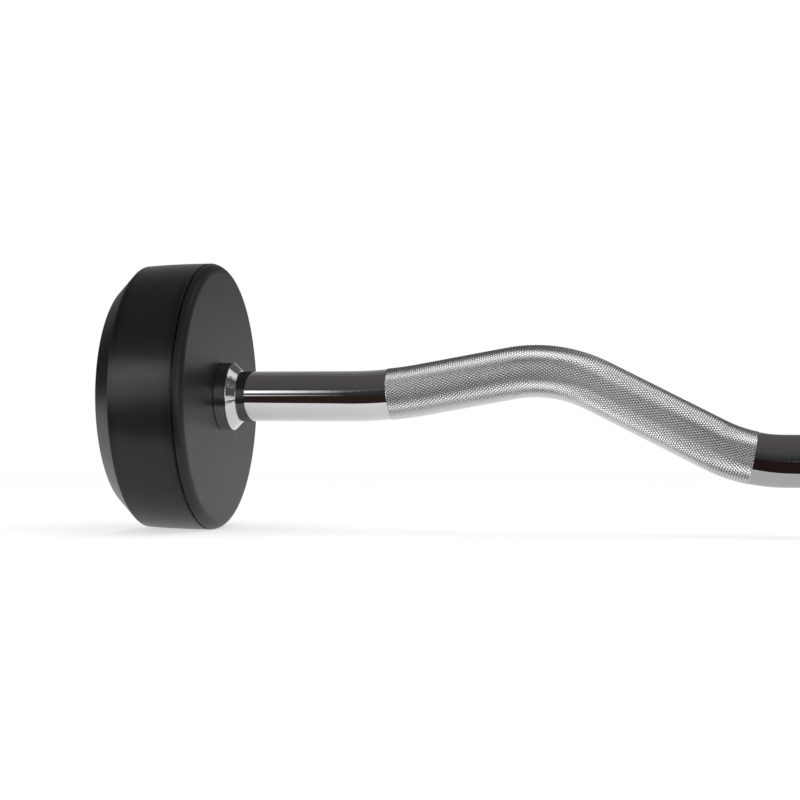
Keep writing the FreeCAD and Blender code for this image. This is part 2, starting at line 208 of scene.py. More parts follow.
class BentLine:
    """The bar's centreline: mirrored stretches in the XZ plane, measured from mid-bar."""

    def __init__(self, stretches: Sequence[Stretch]) -> None:
        """Lays the right half's stretches end to end, with the last one on the X axis.

        Args:
            stretches: The right half's stretches, from mid-bar outwards.
        """
        self.stretches = stretches
        self.starts: list[tuple[float, float, float, float]] = []
        travelled = across = height = heading = 0.0
        for stretch in stretches:
            self.starts.append((travelled, across, height, heading))
            step_across, step_height = self._step(stretch, stretch.length, heading)
            across += step_across
            height += step_height
            heading += stretch.turn
            travelled += stretch.length
        self.length = travelled
        self.drop = -height

    @staticmethod
    def _step(stretch: Stretch, distance: float, heading: float) -> Pair:
        """Gives how far a part of a stretch goes.

        Args:
            stretch: The stretch.
            distance: How much of it is travelled.
            heading: The heading at its start.

        Returns:
            The moves along X and Z.
        """
        if stretch.turn == 0.0:
            return distance * math.cos(heading), distance * math.sin(heading)
        radius = stretch.length / stretch.turn
        later = heading + distance / radius
        return (
            radius * (math.sin(later) - math.sin(heading)),
            radius * (math.cos(heading) - math.cos(later)),
        )

    def _place(self, along: float) -> Triple:
        """Finds a place on the line.

        Args:
            along: Distance from mid-bar, negative on the left half.

        Returns:
            X, Z and the heading there.
        """
        reach = abs(along)
        index = max(i for i, start in enumerate(self.starts) if start[0] <= reach + SMALLEST_LENGTH)
        travelled, across, height, heading = self.starts[index]
        stretch = self.stretches[index]
        inside = reach - travelled
        step_across, step_height = self._step(stretch, inside, heading)
        turned = stretch.turn * min(inside / stretch.length, 1.0)
        side = -1.0 if along < 0 else 1.0
        return side * (across + step_across), self.drop + height + step_height, side * (heading + turned)

    def frames(self, alongs: np.ndarray) -> Arrays:
        """Gives the places at some distances.

        Args:
            alongs: Distances from mid-bar, negative to the left.

        Returns:
            Centres, and the directions ahead, up and sideways there, one row each.
        """
        across, height, heading = np.array([self._place(float(along)) for along in alongs]).T
        none = np.zeros_like(across)
        centres = np.stack([across, none, height], 1)
        ahead = np.stack([np.cos(heading), none, np.sin(heading)], 1)
        up = np.stack([-np.sin(heading), none, np.cos(heading)], 1)
        return centres, ahead, up, np.cross(ahead, up)


def unit(vector: np.ndarray) -> np.ndarray:
    """Returns a vector's direction, with length 1."""
    return vector / np.linalg.norm(vector)


def rounded_rows(corners: Sequence[Corner], closed: bool, steps: int = 6) -> list[Row]:
    """Turns the corners of an outline into rows, with rounded corners as arcs.

    The outline runs with the outside of the piece on its left.

    Args:
        corners: The outline's corners in order.
        closed: Whether the last corner joins the first.
        steps: Steps in the arc of a rounded corner.

    Returns:
        The rows in order.
    """
    rows: list[Row] = []
    spots = [np.array((corner.along, corner.radius)) for corner in corners]
    last = len(corners) - 1
    for index, corner in enumerate(corners):
        spot, previous, following = spots[index], spots[index - 1], spots[(index + 1) % len(spots)]
        ahead_in = unit(spot - previous) if closed or index > 0 else unit(following - spot)
        ahead_out = unit(following - spot) if closed or index < last else ahead_in
        normal_in = np.array((-ahead_in[1], ahead_in[0]))
        normal_out = np.array((-ahead_out[1], ahead_out[0]))
        turn = math.atan2(-float(normal_out @ ahead_in), float(ahead_in @ ahead_out))
        if corner.rounding == 0.0 or abs(turn) < SMALLEST_TURN:
            rows.append(Row(*spot, tuple(normal_in), tuple(normal_out), corner.shape))
            continue
        bulge = -1.0 if turn > 0 else 1.0
        worn = max(bulge, 0.0)
        cut = corner.rounding * math.tan(abs(turn) / 2)
        room = 2 * (cut + WEAR_FADE)
        arc_start = spot - ahead_in * cut
        centre = arc_start - bulge * corner.rounding * normal_in
        if worn and np.linalg.norm(spot - previous) > room:
            rows.append(Row(*(arc_start - ahead_in * WEAR_FADE), tuple(normal_in), tuple(normal_in)))
        for angle in np.arange(steps + 1) * turn / steps:
            normal = math.cos(angle) * normal_in - math.sin(angle) * ahead_in
            point = centre + bulge * corner.rounding * normal
            rows.append(Row(*point, tuple(normal), tuple(normal), corner.shape, worn))
        if worn and np.linalg.norm(following - spot) > room:
            beside = spot + ahead_out * cut + ahead_out * WEAR_FADE
            rows.append(Row(*beside, tuple(normal_out), tuple(normal_out)))
    return rows


@dataclass
class Turning:
    """A piece turned about a centreline, ring by ring.

    Attributes:
        line: The axis that the rings stand on.
        rows: The rings in order, with the outside of the piece on the left of their outline.
        columns: Points in each ring.
        closed: Whether the last ring joins the first, as on a piece with a bore.
        relief: Gives the radii round a ring that isn't a plain circle.
    """

    line: StraightLine | BentLine
    rows: Sequence[Row]
    columns: int
    closed: bool
    relief: Relief | None = None

    def mesh(self, name: str) -> Mesh:
        """Builds the mesh, with a normal of its own at each corner of a face.

        Args:
            name: The mesh's name.

        Returns:
            The mesh, with an edge value and a crest value on its points.
        """
        angles = np.arange(self.columns) * math.tau / self.columns
        centres, ahead, up, side = self.line.frames(np.array([row.along for row in self.rows]))
        outward = np.cos(angles)[:, None] * up[:, None, :] + np.sin(angles)[:, None] * side[:, None, :]
        firsts = [0]
        points: list[np.ndarray] = []
        edges: list[np.ndarray] = []
        crests: list[np.ndarray] = []
        for index, row in enumerate(self.rows):
            radii = np.full(self.columns, row.radius)
            if row.shape is not RingShape.ROUND:
                radii = self.relief(row, index, angles)
            size = self.columns if row.radius > 0.0 else 1
            points.append((centres[index] + outward[index] * radii[:, None])[:size])
            edges.append(np.full(size, row.edge))
            crests.append((radii - row.radius)[:size])
            firsts.append(firsts[-1] + size)
        all_points = np.concatenate(points)
        faces: list[tuple[int, ...]] = []
        normals: list[np.ndarray] = []
        materials: list[int] = []
        for first in range(len(self.rows) if self.closed else len(self.rows) - 1):
            second = (first + 1) % len(self.rows)
            before, after = self.rows[first], self.rows[second]
            knurled = before.shape is after.shape is RingShape.KNURL
            for corners, rings, columns in self._strip(first, second, firsts):
                if before.shape is after.shape is RingShape.ROUND:
                    index = np.where(rings == 0, first, second)
                    outline = np.array((before.after, after.before))[rings]
                    normal = outline[:, :1] * ahead[index] + outline[:, 1:] * outward[index, columns]
                else:
                    start = all_points[corners[:, 0]]
                    flat = np.cross(all_points[corners[:, 1]] - start, all_points[corners[:, -1]] - start)
                    flat /= np.linalg.norm(flat, axis=1, keepdims=True)
                    normal = np.repeat(flat, len(rings), axis=0)
                normals.append(normal.reshape(-1, 3))
                faces.extend(map(tuple, corners.tolist()))
                materials.extend([KNURL_INDEX if knurled else PLAIN_INDEX] * len(corners))
        mesh = bpy.data.meshes.new(name)
        mesh.from_pydata(all_points.tolist(), [], faces)
        mesh.polygons.foreach_set("use_smooth", [True] * len(faces))
        mesh.polygons.foreach_set("material_index", materials)
        for label, values in (("edge", edges), ("crest", crests)):
            attribute = mesh.attributes.new(label, "FLOAT", "POINT")
            attribute.data.foreach_set("value", np.concatenate(values).astype(np.float32))
        mesh.normals_split_custom_set(np.concatenate(normals).tolist())
        mesh.update()
        return mesh

    def _strip(self, first: int, second: int, firsts: Sequence[int]) -> Iterator[Arrays]:
        """Yields the faces between two rings, in groups.

        Each way round a face lists its corners as which of the two rings and how many columns on.

        Args:
            first: Index of the ring before.
            second: Index of the ring after.
            firsts: Index of each ring's first point.

        Returns:
            The points of each group's faces, which of the two rings they are on, and their columns.
        """
        here = np.arange(self.columns)
        every = np.full(self.columns, True)
        falling = (first + here) % 2 == 0
        before, after = self.rows[first], self.rows[second]
        if before.radius == 0.0:
            ways = [(every, ((0, 0), (1, 1), (1, 0)))]
        elif after.radius == 0.0:
            ways = [(every, ((0, 0), (0, 1), (1, 0)))]
        elif RingShape.KNURL in (before.shape, after.shape):
            ways = [
                (falling, ((0, 0), (0, 1), (1, 1))),
                (falling, ((0, 0), (1, 1), (1, 0))),
                (~falling, ((0, 0), (0, 1), (1, 0))),
                (~falling, ((0, 1), (1, 1), (1, 0))),
            ]
        else:
            ways = [(every, ((0, 0), (0, 1), (1, 1), (1, 0)))]
        starts = np.array((firsts[first], firsts[second]))
        is_ring = np.array((before.radius > 0.0, after.radius > 0.0))
        for mask, way in ways:
            rings, steps = np.array(way).T
            columns = (here[mask][:, None] + steps) % self.columns
            yield starts[rings] + is_ring[rings] * columns, rings, columns


def link_piece(mesh: Mesh, *materials: Material) -> Object:
    """Adds a mesh to the scene, under its own name.

    Args:
        mesh: The mesh.
        materials: Its materials in order of their index.

    Returns:
        The new object.
    """
    for material in materials:
        mesh.materials.append(material)
    piece = bpy.data.objects.new(mesh.name, mesh)
    bpy.context.scene.collection.objects.link(piece)
    return piece


def seat_piece(piece: Object, slot: Slot, *nodes: str) -> None:
    """Makes a piece ride on the bar and stand for solids.

    Args:
        piece: The new piece.
        slot: The record's finish meant for it; not used.
        nodes: The solids that it stands for.
    """
    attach(piece, BODY)
    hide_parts(*nodes)
    LOG.info("%s stands for %s: %d faces", piece.name, ", ".join(nodes), len(piece.data.polygons))


# Finishes

class NodeSketch:
    """Adds nodes to a tree and joins their sockets."""

    def __init__(self, tree: NodeTree) -> None:
        """Keeps the tree that the nodes go into."""
        self.tree = tree

    def feed(self, node: Node, inputs: Inputs) -> None:
        """Sets inputs of a node, or links the sockets that feed them.

        Args:
            node: The node.
            inputs: Values or sockets by the input's name or number.
        """
        for label, value in inputs.items():
            if isinstance(value, NodeSocket):
                self.tree.links.new(value, node.inputs[label])
            else:
                node.inputs[label].default_value = value

    def add(self, kind: str, inputs: Inputs | None = None, **settings: object) -> Node:
        """Adds one node.

        Args:
            kind: The node's type name.
            inputs: Values of its inputs, or the sockets that feed them.
            settings: The node's own properties.

        Returns:
            The new node.
        """
        node = self.tree.nodes.new(kind)
        for label, value in settings.items():
            setattr(node, label, value)
        self.feed(node, inputs or {})
        return node

    def math(self, operation: str, *values: SocketValue) -> NodeSocket:
        """Adds a Math node and returns its result."""
        return self.add("ShaderNodeMath", dict(enumerate(values)), operation=operation).outputs[0]

    def blend(self, share: SocketValue, first: SocketValue, second: SocketValue) -> NodeSocket:
        """Mixes two colours.

        Args:
            share: How much of the second colour there is.
            first: The first colour, or the socket that gives it.
            second: The second colour, or its socket.

        Returns:
            The mix.
        """
        colours = [
            value if isinstance(value, NodeSocket) else (*value, 1.0) for value in (first, second)
        ]
        node = self.add("ShaderNodeMix", dict(zip(MIX_INPUTS, (share, *colours))), data_type="RGBA")
        return node.outputs[MIX_OUTPUT]

    def spread(
        self, value: SocketValue, low: SocketValue, high: SocketValue, start: float = 0.0, end: float = 1.0
    ) -> NodeSocket:
        """Maps a value between start and end onto low and high, and returns the result."""
        ends = {"From Min": start, "From Max": end, "To Min": low, "To Max": high}
        return self.add("ShaderNodeMapRange", {"Value": value, **ends}).outputs["Result"]

    def noise(
        self,
        place: SocketValue,
        scale: SocketValue,
        detail: float,
        roughness: float = 0.5,
        distortion: float = 0.0,
    ) -> NodeSocket:
        """Adds a cloudy noise.

        Args:
            place: Where it is looked up.
            scale: Its clouds to the metre.
            detail: How many finer layers it has.
            roughness: How strong the finer layers are.
            distortion: How much it is twisted.

        Returns:
            The noise, mostly between 0 and 1.
        """
        return self.add("ShaderNodeTexNoise", {
            "Vector": place,
            "Scale": scale,
            "Detail": detail,
            "Roughness": roughness,
            "Distortion": distortion,
        }).outputs["Fac"]

    def attribute(self, name: str) -> NodeSocket:
        """Returns the value that a mesh holds on its points."""
        return self.add("ShaderNodeAttribute", attribute_name=name).outputs["Fac"]

    def place(self) -> NodeSocket:
        """Returns the place on the object, in metres."""
        return self.add("ShaderNodeTexCoord").outputs["Object"]

    def use(self, group: NodeTree, inputs: Inputs) -> Node:
        """Places a shared effect and returns its node."""
        return self.add("ShaderNodeGroup", {"Place": self.place(), **inputs}, node_tree=group)

    def bump(self, height: NodeSocket, depth: float) -> NodeSocket:
        """Raises the surface by a height from 0 to 1 times a real depth, and returns the normal."""
        node = self.add("ShaderNodeBump", {"Height": height, "Distance": depth, "Strength": 1.0})
        return node.outputs["Normal"]


def blank_material(name: str) -> tuple[Material, NodeSketch]:
    """Starts a material with no nodes.

    Args:
        name: The material's name.

    Returns:
        The material and a sketch of its nodes.
    """
    material = bpy.data.materials.new(name)
    material.use_nodes = True
    material.node_tree.nodes.clear()
    return material, NodeSketch(material.node_tree)


class SurfaceEffects:
    """The effects that several finishes share, each one a node group that is built once.

    Attributes:
        FINE_SHARE: How much of the uneven tone is fine grain.
        STREAK_STRETCH: How the place is squeezed so that streaks run along X.
        FAINTEST_STREAK: How strong a smudge is between its streaks.
        WEAR_START: The sum of edge and break-up where wear begins.
    """

    FINE_SHARE = 0.35
    STREAK_STRETCH: Triple = (0.04, 1.0, 1.0)
    FAINTEST_STREAK = 0.6
    WEAR_START = 0.75

    def __init__(self) -> None:
        """Builds the groups."""
        self.grain = self._grain()
        self.smudges = self._smudges()
        self.edge_wear = self._edge_wear()

    @staticmethod
    def _start(
        name: str, inputs: dict[str, float], outputs: Sequence[str]
    ) -> tuple[NodeSketch, NodeOutputs]:
        """Starts a group, with a place as its first input.

        Args:
            name: The group's name.
            inputs: Its number inputs and their usual values.
            outputs: Its number outputs.

        Returns:
            A sketch of the group and the sockets of its inputs.
        """
        group = bpy.data.node_groups.new(name, "ShaderNodeTree")
        group.interface.new_socket("Place", in_out="INPUT", socket_type="NodeSocketVector")
        for label, value in inputs.items():
            socket = group.interface.new_socket(label, in_out="INPUT", socket_type="NodeSocketFloat")
            socket.default_value = value
        for label in outputs:
            group.interface.new_socket(label, in_out="OUTPUT", socket_type="NodeSocketFloat")
        sketch = NodeSketch(group)
        return sketch, sketch.add("NodeGroupInput").outputs

    def _grain(self) -> NodeTree:
        """Builds the fine grain of a moulded, cast or plated skin.

        Returns:
            The group, which gives a height and an uneven tone.
        """
        sketch, given = self._start("fine_grain", {"Grains": 2500.0, "Patches": 60.0}, ("Height", "Tone"))
        fine = sketch.noise(given["Place"], given["Grains"], detail=3.0, roughness=0.55)
        coarse = sketch.noise(given["Place"], given["Patches"], detail=5.0, roughness=0.6)
        tone = sketch.math(
            "ADD",
            sketch.math("MULTIPLY", fine, self.FINE_SHARE),
            sketch.math("MULTIPLY", coarse, 1.0 - self.FINE_SHARE),
        )
        sketch.add("NodeGroupOutput", {"Height": fine, "Tone": tone})
        return sketch.tree

    def _smudges(self) -> NodeTree:
        """Builds the smudges of handling: soft clouds with fine streaks.

        Returns:
            The group, which gives a share from 0 to 1.
        """
        sketch, given = self._start("smudges", {"Clouds": 40.0, "Streaks": 900.0}, ("Share",))
        clouds = sketch.noise(given["Place"], given["Clouds"], detail=4.0, distortion=0.4)
        long_place = sketch.add(
            "ShaderNodeVectorMath", {0: given["Place"], 1: self.STREAK_STRETCH}, operation="MULTIPLY"
        ).outputs["Vector"]
        streaks = sketch.noise(long_place, given["Streaks"], detail=2.0)
        share = sketch.math(
            "MULTIPLY",
            sketch.spread(clouds, 0.0, 1.0),
            sketch.spread(streaks, self.FAINTEST_STREAK, 1.0),
        )
        sketch.add("NodeGroupOutput", {"Share": share})
        return sketch.tree

    def _edge_wear(self) -> NodeTree:
        """Builds the wear along edges, which breaks up along them.

        Returns:
            The group, which gives a mask from 0 to 1.
        """
        inputs = {"Edge": 0.0, "Amount": 0.5, "Breaks": 180.0}
        sketch, given = self._start("edge_wear", inputs, ("Mask",))
        breaks = sketch.noise(given["Place"], given["Breaks"], detail=4.0)
        rubbed = sketch.math("SUBTRACT", sketch.math("ADD", given["Edge"], breaks), self.WEAR_START)
        mask = sketch.math("MULTIPLY", sketch.math("MAXIMUM", rubbed, 0.0), given["Amount"])
        sketch.add("NodeGroupOutput", {"Mask": sketch.math("MINIMUM", mask, 1.0)})
        return sketch.tree


@dataclass(frozen=True)
class Finish:
    """What every finish has.

    Attributes:
        name: The material's name.
        effects: The shared effects.
    """

    name: str
    effects: SurfaceEffects

    def material(self) -> Material:
        """Builds the material, with a shader that the finish feeds.

        Returns:
            The material.
        """
        material, sketch = blank_material(self.name)
        shader = sketch.add("ShaderNodeBsdfPrincipled")
        sketch.add("ShaderNodeOutputMaterial", {"Surface": shader.outputs["BSDF"]})
        sketch.feed(shader, self.paint(sketch))
        return material

    def paint(self, sketch: NodeSketch) -> Inputs:
        """Adds the finish's own nodes to a sketch and returns the shader's inputs."""
        raise NotImplementedError

    def worn_edges(self, sketch: NodeSketch, amount: float) -> NodeSocket:
        """Returns the mask of worn edges."""
        inputs = {"Edge": sketch.attribute("edge"), "Amount": amount}
        return sketch.use(self.effects.edge_wear, inputs).outputs["Mask"]


@dataclass(frozen=True)
class ChromePlate(Finish):
    """Bright chrome plate, with faint smudges and the ripple of a polished bar.

    Attributes:
        colour: Colour of the plate.
        hazed: Colour where it is smudged.
        polish: Lowest and highest roughness.
        ripple: Depth of the ripple left by polishing.
        ripples: Fine and coarse ripples to the metre.
        clouds: Smudges to the metre.
    """

    colour: Triple = (0.61, 0.61, 0.615)
    hazed: Triple = (0.55, 0.55, 0.555)
    polish: Pair = (0.02, 0.05)
    ripple: float = 0.00002
    ripples: Pair = (420.0, 90.0)
    clouds: float = 55.0

    def paint(self, sketch: NodeSketch) -> Inputs:
        """Adds the nodes of the plate.

        Args:
            sketch: A sketch of the material.

        Returns:
            The shader's inputs.
        """
        haze = sketch.use(self.effects.smudges, {"Clouds": self.clouds}).outputs["Share"]
        grain = sketch.use(self.effects.grain, dict(zip(("Grains", "Patches"), self.ripples)))
        return {
            "Metallic": 1.0,
            "Base Color": sketch.blend(haze, self.colour, self.hazed),
            "Roughness": sketch.spread(haze, *self.polish),
            "Normal": sketch.bump(grain.outputs["Tone"], self.ripple),
        }


@dataclass(frozen=True)
class KnurledPlate(Finish):
    """Chrome plate over knurling: crests painted lighter than plain chrome as a highlight, grooves rougher
    and painted darker as shade, partly also dust.

    Attributes:
        crest: Colour of the crests, lighter than the plate as a painted highlight.
        groove: Colour of the grooves, darkened as painted shade and partly dust.
        polish: Roughness of the crests and of the grooves.
        depth: Depth from crest to groove.
        clouds: Smudges to the metre.
        smudged: How much of a crest's painted highlight is left where it is smudged.
    """

    # The crests are painted lighter than chrome as a highlight, and the grooves darker as shade, partly
    # dust.
    crest: Triple = (0.99, 0.99, 0.995)
    groove: Triple = (0.36, 0.36, 0.364)
    polish: Pair = (0.23, 0.34)
    depth: float = 0.00062
    clouds: float = 75.0
    smudged: float = 0.8

    def paint(self, sketch: NodeSketch) -> Inputs:
        """Adds the nodes of the knurled plate.

        Args:
            sketch: A sketch of the material.

        Returns:
            The shader's inputs.
        """
        raised = sketch.spread(sketch.attribute("crest"), 0.0, 1.0, -self.depth, 0.0)
        haze = sketch.use(self.effects.smudges, {"Clouds": self.clouds}).outputs["Share"]
        # Share of the crests' painted highlight against the grooves' painted shade, by height, less where
        # smudged.
        crest_light_share = sketch.math("MULTIPLY", raised, sketch.spread(haze, 1.0, self.smudged))
        return {
            "Metallic": 1.0,
            "Base Color": sketch.blend(crest_light_share, self.groove, self.crest),
            "Roughness": sketch.spread(crest_light_share, self.polish[1], self.polish[0]),
        }


@dataclass(frozen=True)
class MouldedRubber(Finish):
    """Black moulded rubber: a fine matt grain, slightly uneven, and paler where edges are rubbed.

    Attributes:
        colour: Colour of the rubber.
        bloom: Colour of its paler patches.
        rubbed: Colour of rubbed edges.
        face_sheen: Lowest and highest roughness of the matt inner face.
        rim_sheen: Lowest and highest roughness of the handled rim.
        rim_reach: Distances from mid-bar where the matt face ends and the rim's sheen begins.
        grain: Depth of the grain.
        grains: Grains to the metre.
        patches: Paler patches to the metre.
        wear: How much the edges are rubbed.
        clouds: Smudges of the rim to the metre.
        streaks: Streaks of the rim to the metre.
        ior: Index of refraction.
    """

    colour: Triple = (0.0022, 0.0022, 0.0024)
    bloom: Triple = (0.0048, 0.0048, 0.0051)
    rubbed: Triple = (0.02, 0.02, 0.021)
    face_sheen: Pair = (0.36, 0.46)
    rim_sheen: Pair = (0.24, 0.40)
    rim_reach: Pair = (0.395, 0.401)
    grain: float = 0.00004
    grains: float = 2600.0
    patches: float = 70.0
    wear: float = 0.25
    clouds: float = 26.0
    streaks: float = 300.0
    ior: float = 1.38

    def paint(self, sketch: NodeSketch) -> Inputs:
        """Adds the nodes of the rubber.

        Args:
            sketch: A sketch of the material.

        Returns:
            The shader's inputs.
        """
        grain = sketch.use(self.effects.grain, {"Grains": self.grains, "Patches": self.patches}).outputs
        skin = sketch.blend(grain["Tone"], self.colour, self.bloom)
        across = sketch.add("ShaderNodeSeparateXYZ", {"Vector": sketch.place()}).outputs["X"]
        rim = sketch.spread(sketch.math("ABSOLUTE", across), 0.0, 1.0, *self.rim_reach)
        smudges = {"Clouds": self.clouds, "Streaks": self.streaks}
        handled = sketch.use(self.effects.smudges, smudges).outputs["Share"]
        matt = sketch.spread(grain["Tone"], *self.face_sheen)
        return {
            "Base Color": sketch.blend(self.worn_edges(sketch, self.wear), skin, self.rubbed),
            "Roughness": sketch.spread(rim, matt, sketch.spread(handled, *self.rim_sheen)),
            "IOR": self.ior,
            "Normal": sketch.bump(grain["Height"], self.grain),
        }


@dataclass(frozen=True)
class BareMetal(Finish):
    """Uncoated or thinly coated metal: cast iron, ground steel, zinc plate or black oxide.

    Attributes:
        colour: Main colour.
        patch: Colour of its uneven patches.
        worn: Colour of worn edges.
        dullness: Lowest and highest roughness.
        metal: How metallic it is.
        grains: Grains to the metre.
        patches: Patches to the metre.
        relief: Depth of the grain.
        wear: How much the edges are worn.
    """

    colour: Triple = (0.5, 0.5, 0.51)
    patch: Triple = (0.42, 0.42, 0.43)
    worn: Triple = (0.6, 0.6, 0.6)
    dullness: Pair = (0.25, 0.4)
    metal: float = 1.0
    grains: float = 1500.0
    patches: float = 140.0
    relief: float = 0.00002
    wear: float = 0.4

    def paint(self, sketch: NodeSketch) -> Inputs:
        """Adds the nodes of the metal.

        Args:
            sketch: A sketch of the material.

        Returns:
            The shader's inputs.
        """
        grain = sketch.use(self.effects.grain, {"Grains": self.grains, "Patches": self.patches}).outputs
        skin = sketch.blend(grain["Tone"], self.colour, self.patch)
        return {
            "Metallic": self.metal,
            "Base Color": sketch.blend(self.worn_edges(sketch, self.wear), skin, self.worn),
            "Roughness": sketch.spread(grain["Tone"], *self.dullness),
            "Normal": sketch.bump(grain["Height"], self.relief),
        }


class FinishBook:
    """The materials of the bar, one for each finish."""

    def __init__(self) -> None:
        """Builds every material once."""
        effects = SurfaceEffects()
        self.chrome = ChromePlate("chrome_plate", effects).material()
        self.collar = ChromePlate(
            "turned_chrome", effects, polish=(0.05, 0.12), ripple=0.00028
        ).material()
        self.knurl = KnurledPlate("knurled_plate", effects).material()
        self.rubber = MouldedRubber("moulded_rubber", effects).material()
        self.iron = BareMetal(
            "cast_iron", effects, (0.07, 0.066, 0.062), (0.13, 0.12, 0.11), (0.25, 0.24, 0.23),
            dullness=(0.55, 0.75), metal=0.6, grains=900.0, relief=0.00012,
        ).material()
        self.pin = BareMetal("ground_steel", effects, dullness=(0.2, 0.3)).material()
        self.zinc = BareMetal(
            "zinc_plate", effects, (0.62, 0.63, 0.64), (0.50, 0.51, 0.53),
            dullness=(0.28, 0.42), grains=700.0,
        ).material()
        self.bolt = BareMetal(
            "black_oxide", effects, (0.025, 0.025, 0.027), (0.04, 0.04, 0.042), (0.22, 0.22, 0.22),
            dullness=(0.32, 0.48), metal=0.7, grains=2200.0,
        ).material()


# Sub-assemblies

@dataclass(frozen=True)
class Knurl:
    """Diamond knurling: two crossing families of grooves that leave rows of small pyramids.

    Attributes:
        starts: Grooves of each family round the bar.
        lead: Length of one diamond along the bar.
        crest_radius: Radius over the crests.
        depth: Depth of the grooves.
        lip: Length of the slope from the plain bar to the first row.
    """

    starts: int = 57
    lead: float = 0.00264
    crest_radius: float = 0.0154
    depth: float = 0.00062
    lip: float = 0.0003

    def radii(self, row: Row, index: int, angles: np.ndarray) -> np.ndarray:
        """Gives the radii of a ring, where crests and crossings of grooves take turns."""
        crests = (index + np.arange(len(angles))) % 2 == 1
        return np.where(crests, row.radius, row.radius - self.depth)


@dataclass
class CurlBar:
    """The bent bar: plain chromed stretches, two knurled grips and a turned, tapped spigot at each end.

    Attributes:
        radius: Radius of the plain bar.
        centre_straight: Straight length between the two inner bends.
        inner_bend_radius: Radius of the bend beside the middle.
        inner_bend_angle: Its angle.
        inner_straight: Straight length from there to the crest.
        crest_bend_radius: Radius of the bend at the crest.
        outer_straight: Straight length from the crest outwards.
        outer_bend_radius: Radius of the bend beside the straight end.
        outer_bend_angle: Its angle.
        end_straight: Straight length at each end.
        inner_knurl_share: How much of the inner bend is knurled.
        outer_knurl_share: How much of the outer bend is knurled.
        spigot_radius: Radius of the spigot.
        spigot_length: Length of the spigot.
        spigot_chamfer: Chamfer of its end.
        hole_radius: Radius of the tapped hole.
        hole_depth: Depth of the tapped hole.
        corner: Rounding of the turned corners.
        arc_step: Longest step along a plain bend.
        knurl: The knurling of the grips.
    """

    radius: float = 0.015
    centre_straight: float = 0.130
    inner_bend_radius: float = 0.086
    inner_bend_angle: float = math.radians(27.0)
    inner_straight: float = 0.0735
    crest_bend_radius: float = 0.080
    outer_straight: float = 0.052
    outer_bend_radius: float = 0.250
    outer_bend_angle: float = math.radians(10.2)
    end_straight: float = 0.067
    inner_knurl_share: float = 0.57
    outer_knurl_share: float = 0.46
    spigot_radius: float = 0.0125
    spigot_length: float = 0.0445
    spigot_chamfer: float = 0.001
    hole_radius: float = 0.0061
    hole_depth: float = 0.036
    corner: float = 0.0002
    arc_step: float = 0.0012
    knurl: Knurl = field(default_factory=Knurl)

    def stretches(self) -> list[Stretch]:
        """Lists the right half's stretches.

        Returns:
            The stretches, from mid-bar outwards.
        """
        crest_angle = self.inner_bend_angle + self.outer_bend_angle
        return [
            Stretch(self.centre_straight / 2),
            Stretch(self.inner_bend_radius * self.inner_bend_angle, self.inner_bend_angle),
            Stretch(self.inner_straight),
            Stretch(self.crest_bend_radius * crest_angle, -crest_angle),
            Stretch(self.outer_straight),
            Stretch(self.outer_bend_radius * self.outer_bend_angle, self.outer_bend_angle),
            Stretch(self.end_straight),
        ]

    def _bend_rows(self, start: float, end: float) -> list[Row]:
        """Makes the rings of a plain bend between two distances from mid-bar."""
        steps = math.ceil((end - start) / self.arc_step)
        return [Row(along, self.radius) for along in np.linspace(start, end, steps + 1)]

    def _half_rows(self, line: BentLine) -> list[Row]:
        """Makes the rings of the right half, from mid-bar to the end of the outer bend.

        Args:
            line: The bar's centreline.

        Returns:
            The rings.
        """
        inner_bend, outer_bend = line.starts[INNER_BEND][0], line.starts[OUTER_BEND][0]
        start = inner_bend + line.stretches[INNER_BEND].length * (1.0 - self.inner_knurl_share)
        end = outer_bend + line.stretches[OUTER_BEND].length * self.outer_knurl_share
        count = 2 * round((end - start) / self.knurl.lead)
        knurled = [
            Row(along, self.knurl.crest_radius, shape=RingShape.KNURL)
            for along in np.linspace(start, end, count + 1)
        ]
        inner = self._bend_rows(inner_bend, start - self.knurl.lip)
        outer = self._bend_rows(end + self.knurl.lip, line.starts[END_STRAIGHT][0])
        return [Row(0.0, self.radius)] + inner + knurled + outer

    def _end_rows(self, line: BentLine) -> list[Row]:
        """Makes the rings of the right end: shoulder, spigot and tapped hole.

        Args:
            line: The bar's centreline.

        Returns:
            The rings.
        """
        shoulder = line.length
        tip = shoulder + self.spigot_length
        bottom = tip - self.hole_depth
        corners = [
            Corner(line.starts[END_STRAIGHT][0] + self.corner, self.radius),
            Corner(shoulder, self.radius, self.corner),
            Corner(shoulder, self.spigot_radius, self.corner),
            Corner(tip - self.spigot_chamfer, self.spigot_radius, self.corner),
            Corner(tip, self.spigot_radius - self.spigot_chamfer, self.corner),
            Corner(tip, self.hole_radius, self.corner),
            Corner(bottom, self.hole_radius, self.corner),
            Corner(bottom, 0.0),
        ]
        return rounded_rows(corners, closed=False, steps=SMALL_STEPS)

    def build(self, book: FinishBook) -> None:
        """Builds the bar in one skin, from the bottom of one tapped hole to the other.

        Args:
            book: The finishes.
        """
        line = BentLine(self.stretches())
        right = self._half_rows(line) + self._end_rows(line)
        left = [row.mirrored() for row in reversed(right[1:])]
        turning = Turning(line, left + right, 2 * self.knurl.starts, False, self.knurl.radii)
        bar = link_piece(turning.mesh("bent_bar"), book.chrome, book.knurl)
        seat_piece(bar, Slot.CHROME, "curl_bar")


